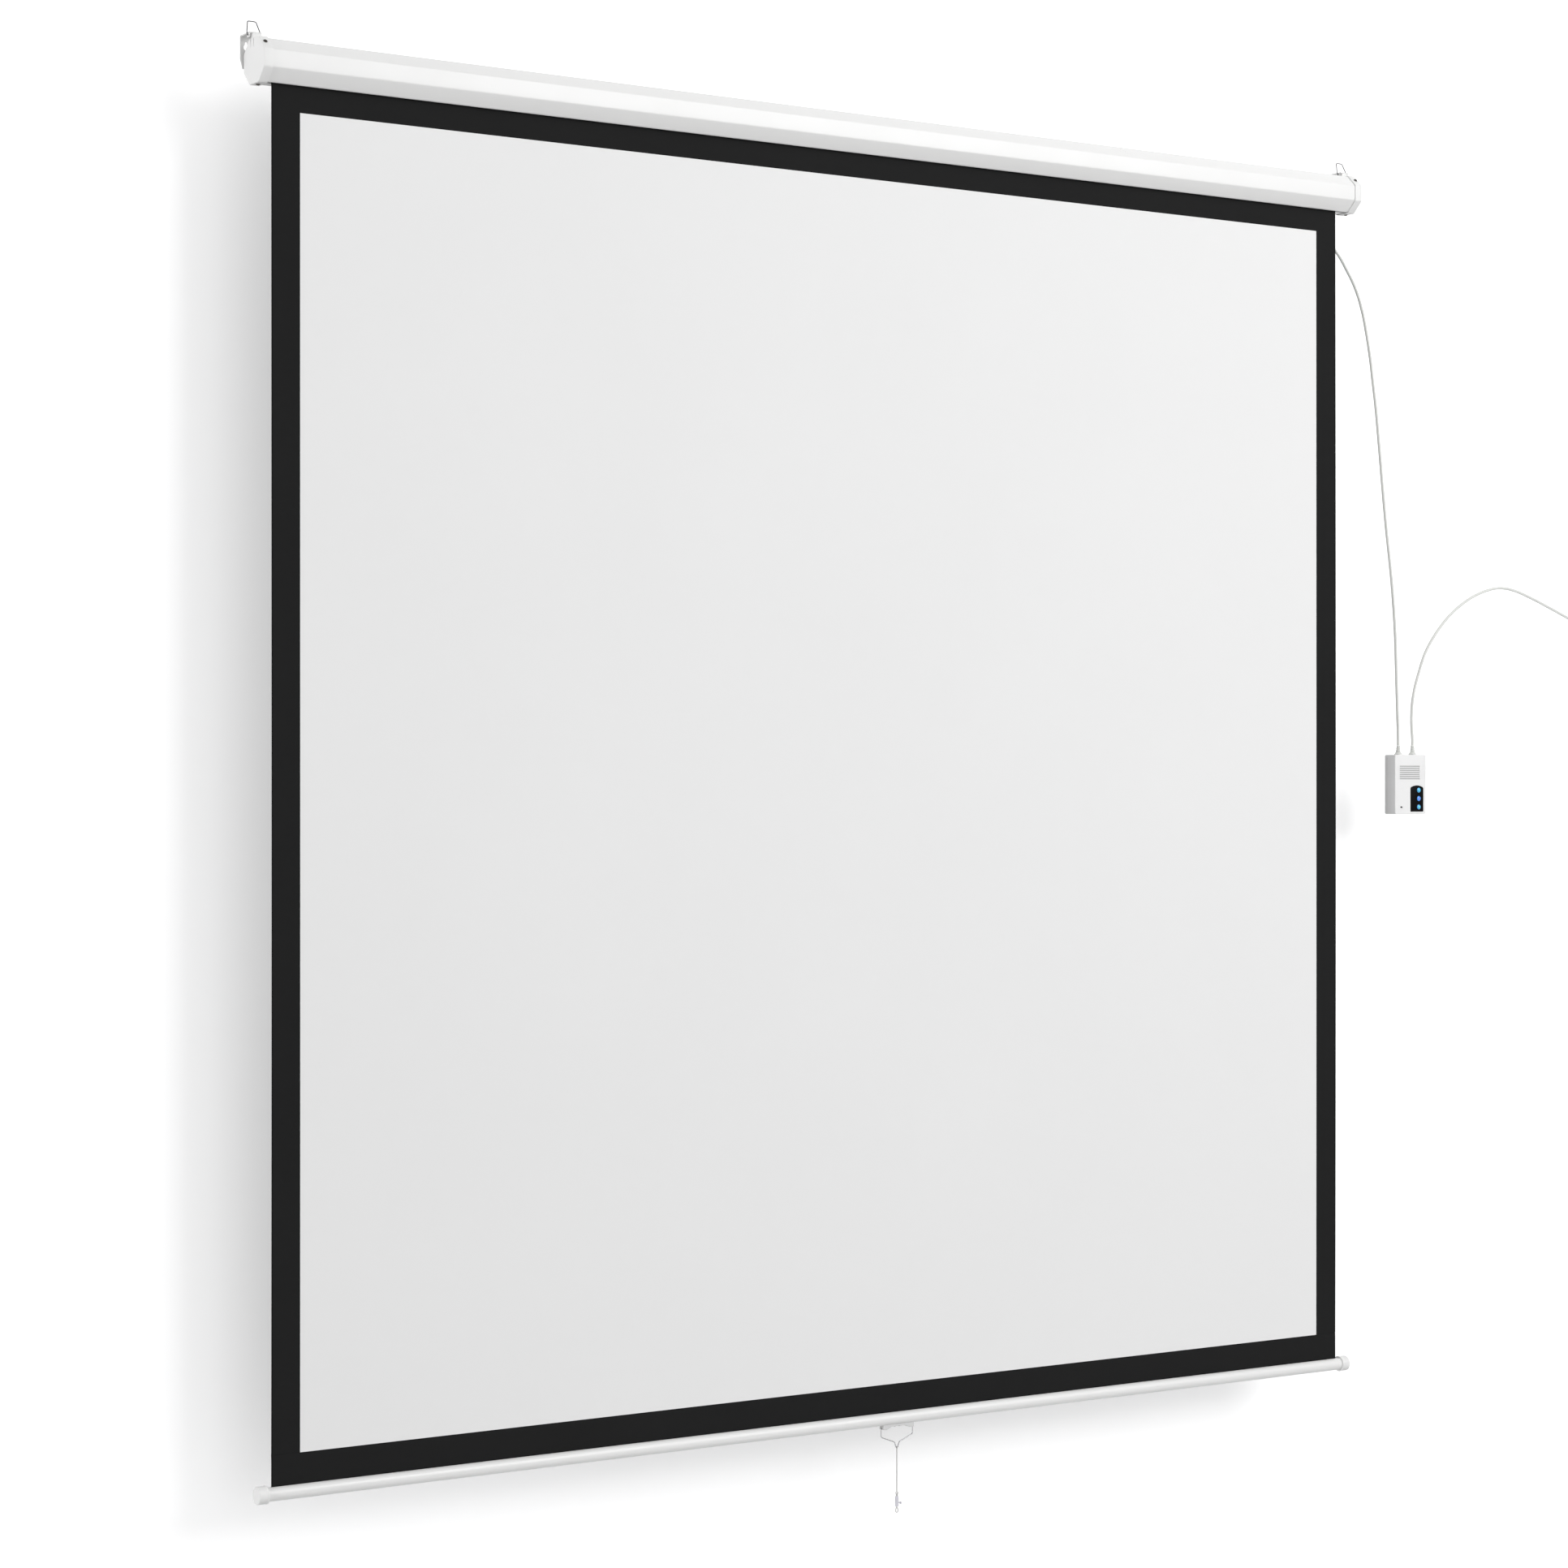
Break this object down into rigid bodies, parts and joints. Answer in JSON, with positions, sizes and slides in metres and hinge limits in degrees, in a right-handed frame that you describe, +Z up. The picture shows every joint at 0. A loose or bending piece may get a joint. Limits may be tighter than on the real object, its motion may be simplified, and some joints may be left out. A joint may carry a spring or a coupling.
{
  "type": "projector screen",
  "caption": "Wall-hung roll-down projector screen: octagonal casing, black-bordered white cloth, round bottom bar with a wire pull handle, and a push-button control box on its lead.",
  "frame": {"origin": "on the wall plane, midway between the two keyholes that the screen hangs by", "axes": "+X along the casing to the viewer's right, +Y into the wall, +Z up"},
  "size_m": [2.7773, 0.073, 2.2565],
  "materials": {
    "white_enamel": "satin white stoved enamel",
    "white_plastic": "fine-grained white moulding",
    "grey_plastic": "pale grey moulding",
    "black_plastic": "black moulding",
    "steel_wire": "bright drawn steel wire",
    "dark_screw": "dark zinc screw",
    "roller_metal": "galvanised steel",
    "black_cloth": "matt black coated screen cloth",
    "white_screen": "matt white projection coating",
    "white_string": "twisted white string",
    "keypad_black": "gloss black keypad film",
    "button_blue": "domed blue translucent button",
    "indicator_dark": "dark receiver window",
    "board_green": "green board and terminal moulding",
    "relay_blue": "blue relay case",
    "lead_white": "soft white cable sheath",
    "pin_metal": "nickel-plated pin"
  },
  "bodies": {
    "housing": {"casing": "white_enamel", "left_end_cap": "white_plastic", "right_end_cap": "white_plastic", "left_bracket": "white_enamel", "right_bracket": "white_enamel", "left_upper_screw": "dark_screw", "left_lower_screw": "dark_screw", "right_upper_screw": "dark_screw", "right_lower_screw": "dark_screw", "idler_bush": "white_plastic", "tubular_motor": "roller_metal", "motor_head": "black_plastic", "motor_holder": "roller_metal", "screen_cloth": "black_cloth", "projection_surface": "white_screen", "cable_gland": "lead_white", "motor_lead": "lead_white", "box_front": "white_plastic", "box_back": "white_plastic", "box_screw_1": "steel_wire", "box_screw_2": "steel_wire", "keypad_panel": "keypad_black", "indicator_window": "indicator_dark", "circuit_board": "board_green", "relay_1": "relay_blue", "relay_2": "relay_blue", "terminal_block": "board_green", "motor_lead_relief": "lead_white", "supply_lead_relief": "lead_white", "supply_lead": "lead_white", "supply_coil": "lead_white", "supply_tail": "lead_white", "coil_tie": "black_plastic", "plug_body": "lead_white", "plug_pin_1": "pin_metal", "plug_pin_2": "pin_metal"},
    "roller": {"roller_tube": "roller_metal", "wound_cloth": "black_cloth", "idler_plug": "white_plastic", "motor_crown": "black_plastic", "drive_wheel": "black_plastic"},
    "bottom_bar": {"hem_cloth": "black_cloth", "hem_rod": "steel_wire", "bar_tube": "white_enamel", "left_bar_cap": "white_plastic", "right_bar_cap": "white_plastic", "handle_clip": "grey_plastic", "clip_screw_1": "dark_screw", "clip_screw_2": "dark_screw"},
    "pull_handle": {"handle_wire": "steel_wire", "pull_cord": "white_string", "cord_knot": "white_string", "cord_toggle": "grey_plastic", "cord_loop": "white_string"},
    "bail_left": {"left_bail": "steel_wire"},
    "bail_right": {"right_bail": "steel_wire"},
    "button_up": {"up_button": "button_blue"},
    "button_stop": {"stop_button": "button_blue"},
    "button_down": {"down_button": "button_blue"}
  },
  "joints": [
    {"name": "bar_travel", "type": "slide", "parent": "housing", "child": "bottom_bar", "axis": [0, 0, 1], "range_m": [0, 1.98], "deforming": ["screen_cloth", "projection_surface"]},
    {"name": "roller_turn", "type": "hinge", "parent": "housing", "child": "roller", "pos_m": [0, -0.0299, -0.0248], "axis": [1, 0, 0], "range_deg": [-5960, 0]},
    {"name": "handle_swing", "type": "hinge", "parent": "bottom_bar", "child": "pull_handle", "pos_m": [0.0705, -0.04588, -2.0832], "axis": [1, 0, 0], "range_deg": [-90, 18]},
    {"name": "left_bail_swing", "type": "hinge", "parent": "housing", "child": "bail_left", "pos_m": [-1.04045, -0.028, 0.0126], "axis": [1, 0, 0], "range_deg": [0, 55]},
    {"name": "right_bail_swing", "type": "hinge", "parent": "housing", "child": "bail_right", "pos_m": [1.04045, -0.028, 0.0126], "axis": [1, 0, 0], "range_deg": [0, 55]},
    {"name": "up_press", "type": "slide", "parent": "housing", "child": "button_up", "axis": [0, 1, 0], "range_m": [0, 0.001], "stiffness_N_per_m": 400, "springref_m": -0.0006},
    {"name": "stop_press", "type": "slide", "parent": "housing", "child": "button_stop", "axis": [0, 1, 0], "range_m": [0, 0.001], "stiffness_N_per_m": 400, "springref_m": -0.0006},
    {"name": "down_press", "type": "slide", "parent": "housing", "child": "button_down", "axis": [0, 1, 0], "range_m": [0, 0.001], "stiffness_N_per_m": 400, "springref_m": -0.0006}
  ],
  "couplings": [
    {"joint": "roller_turn", "follows": "bar_travel", "rad_per_m": -52.4}
  ]
}
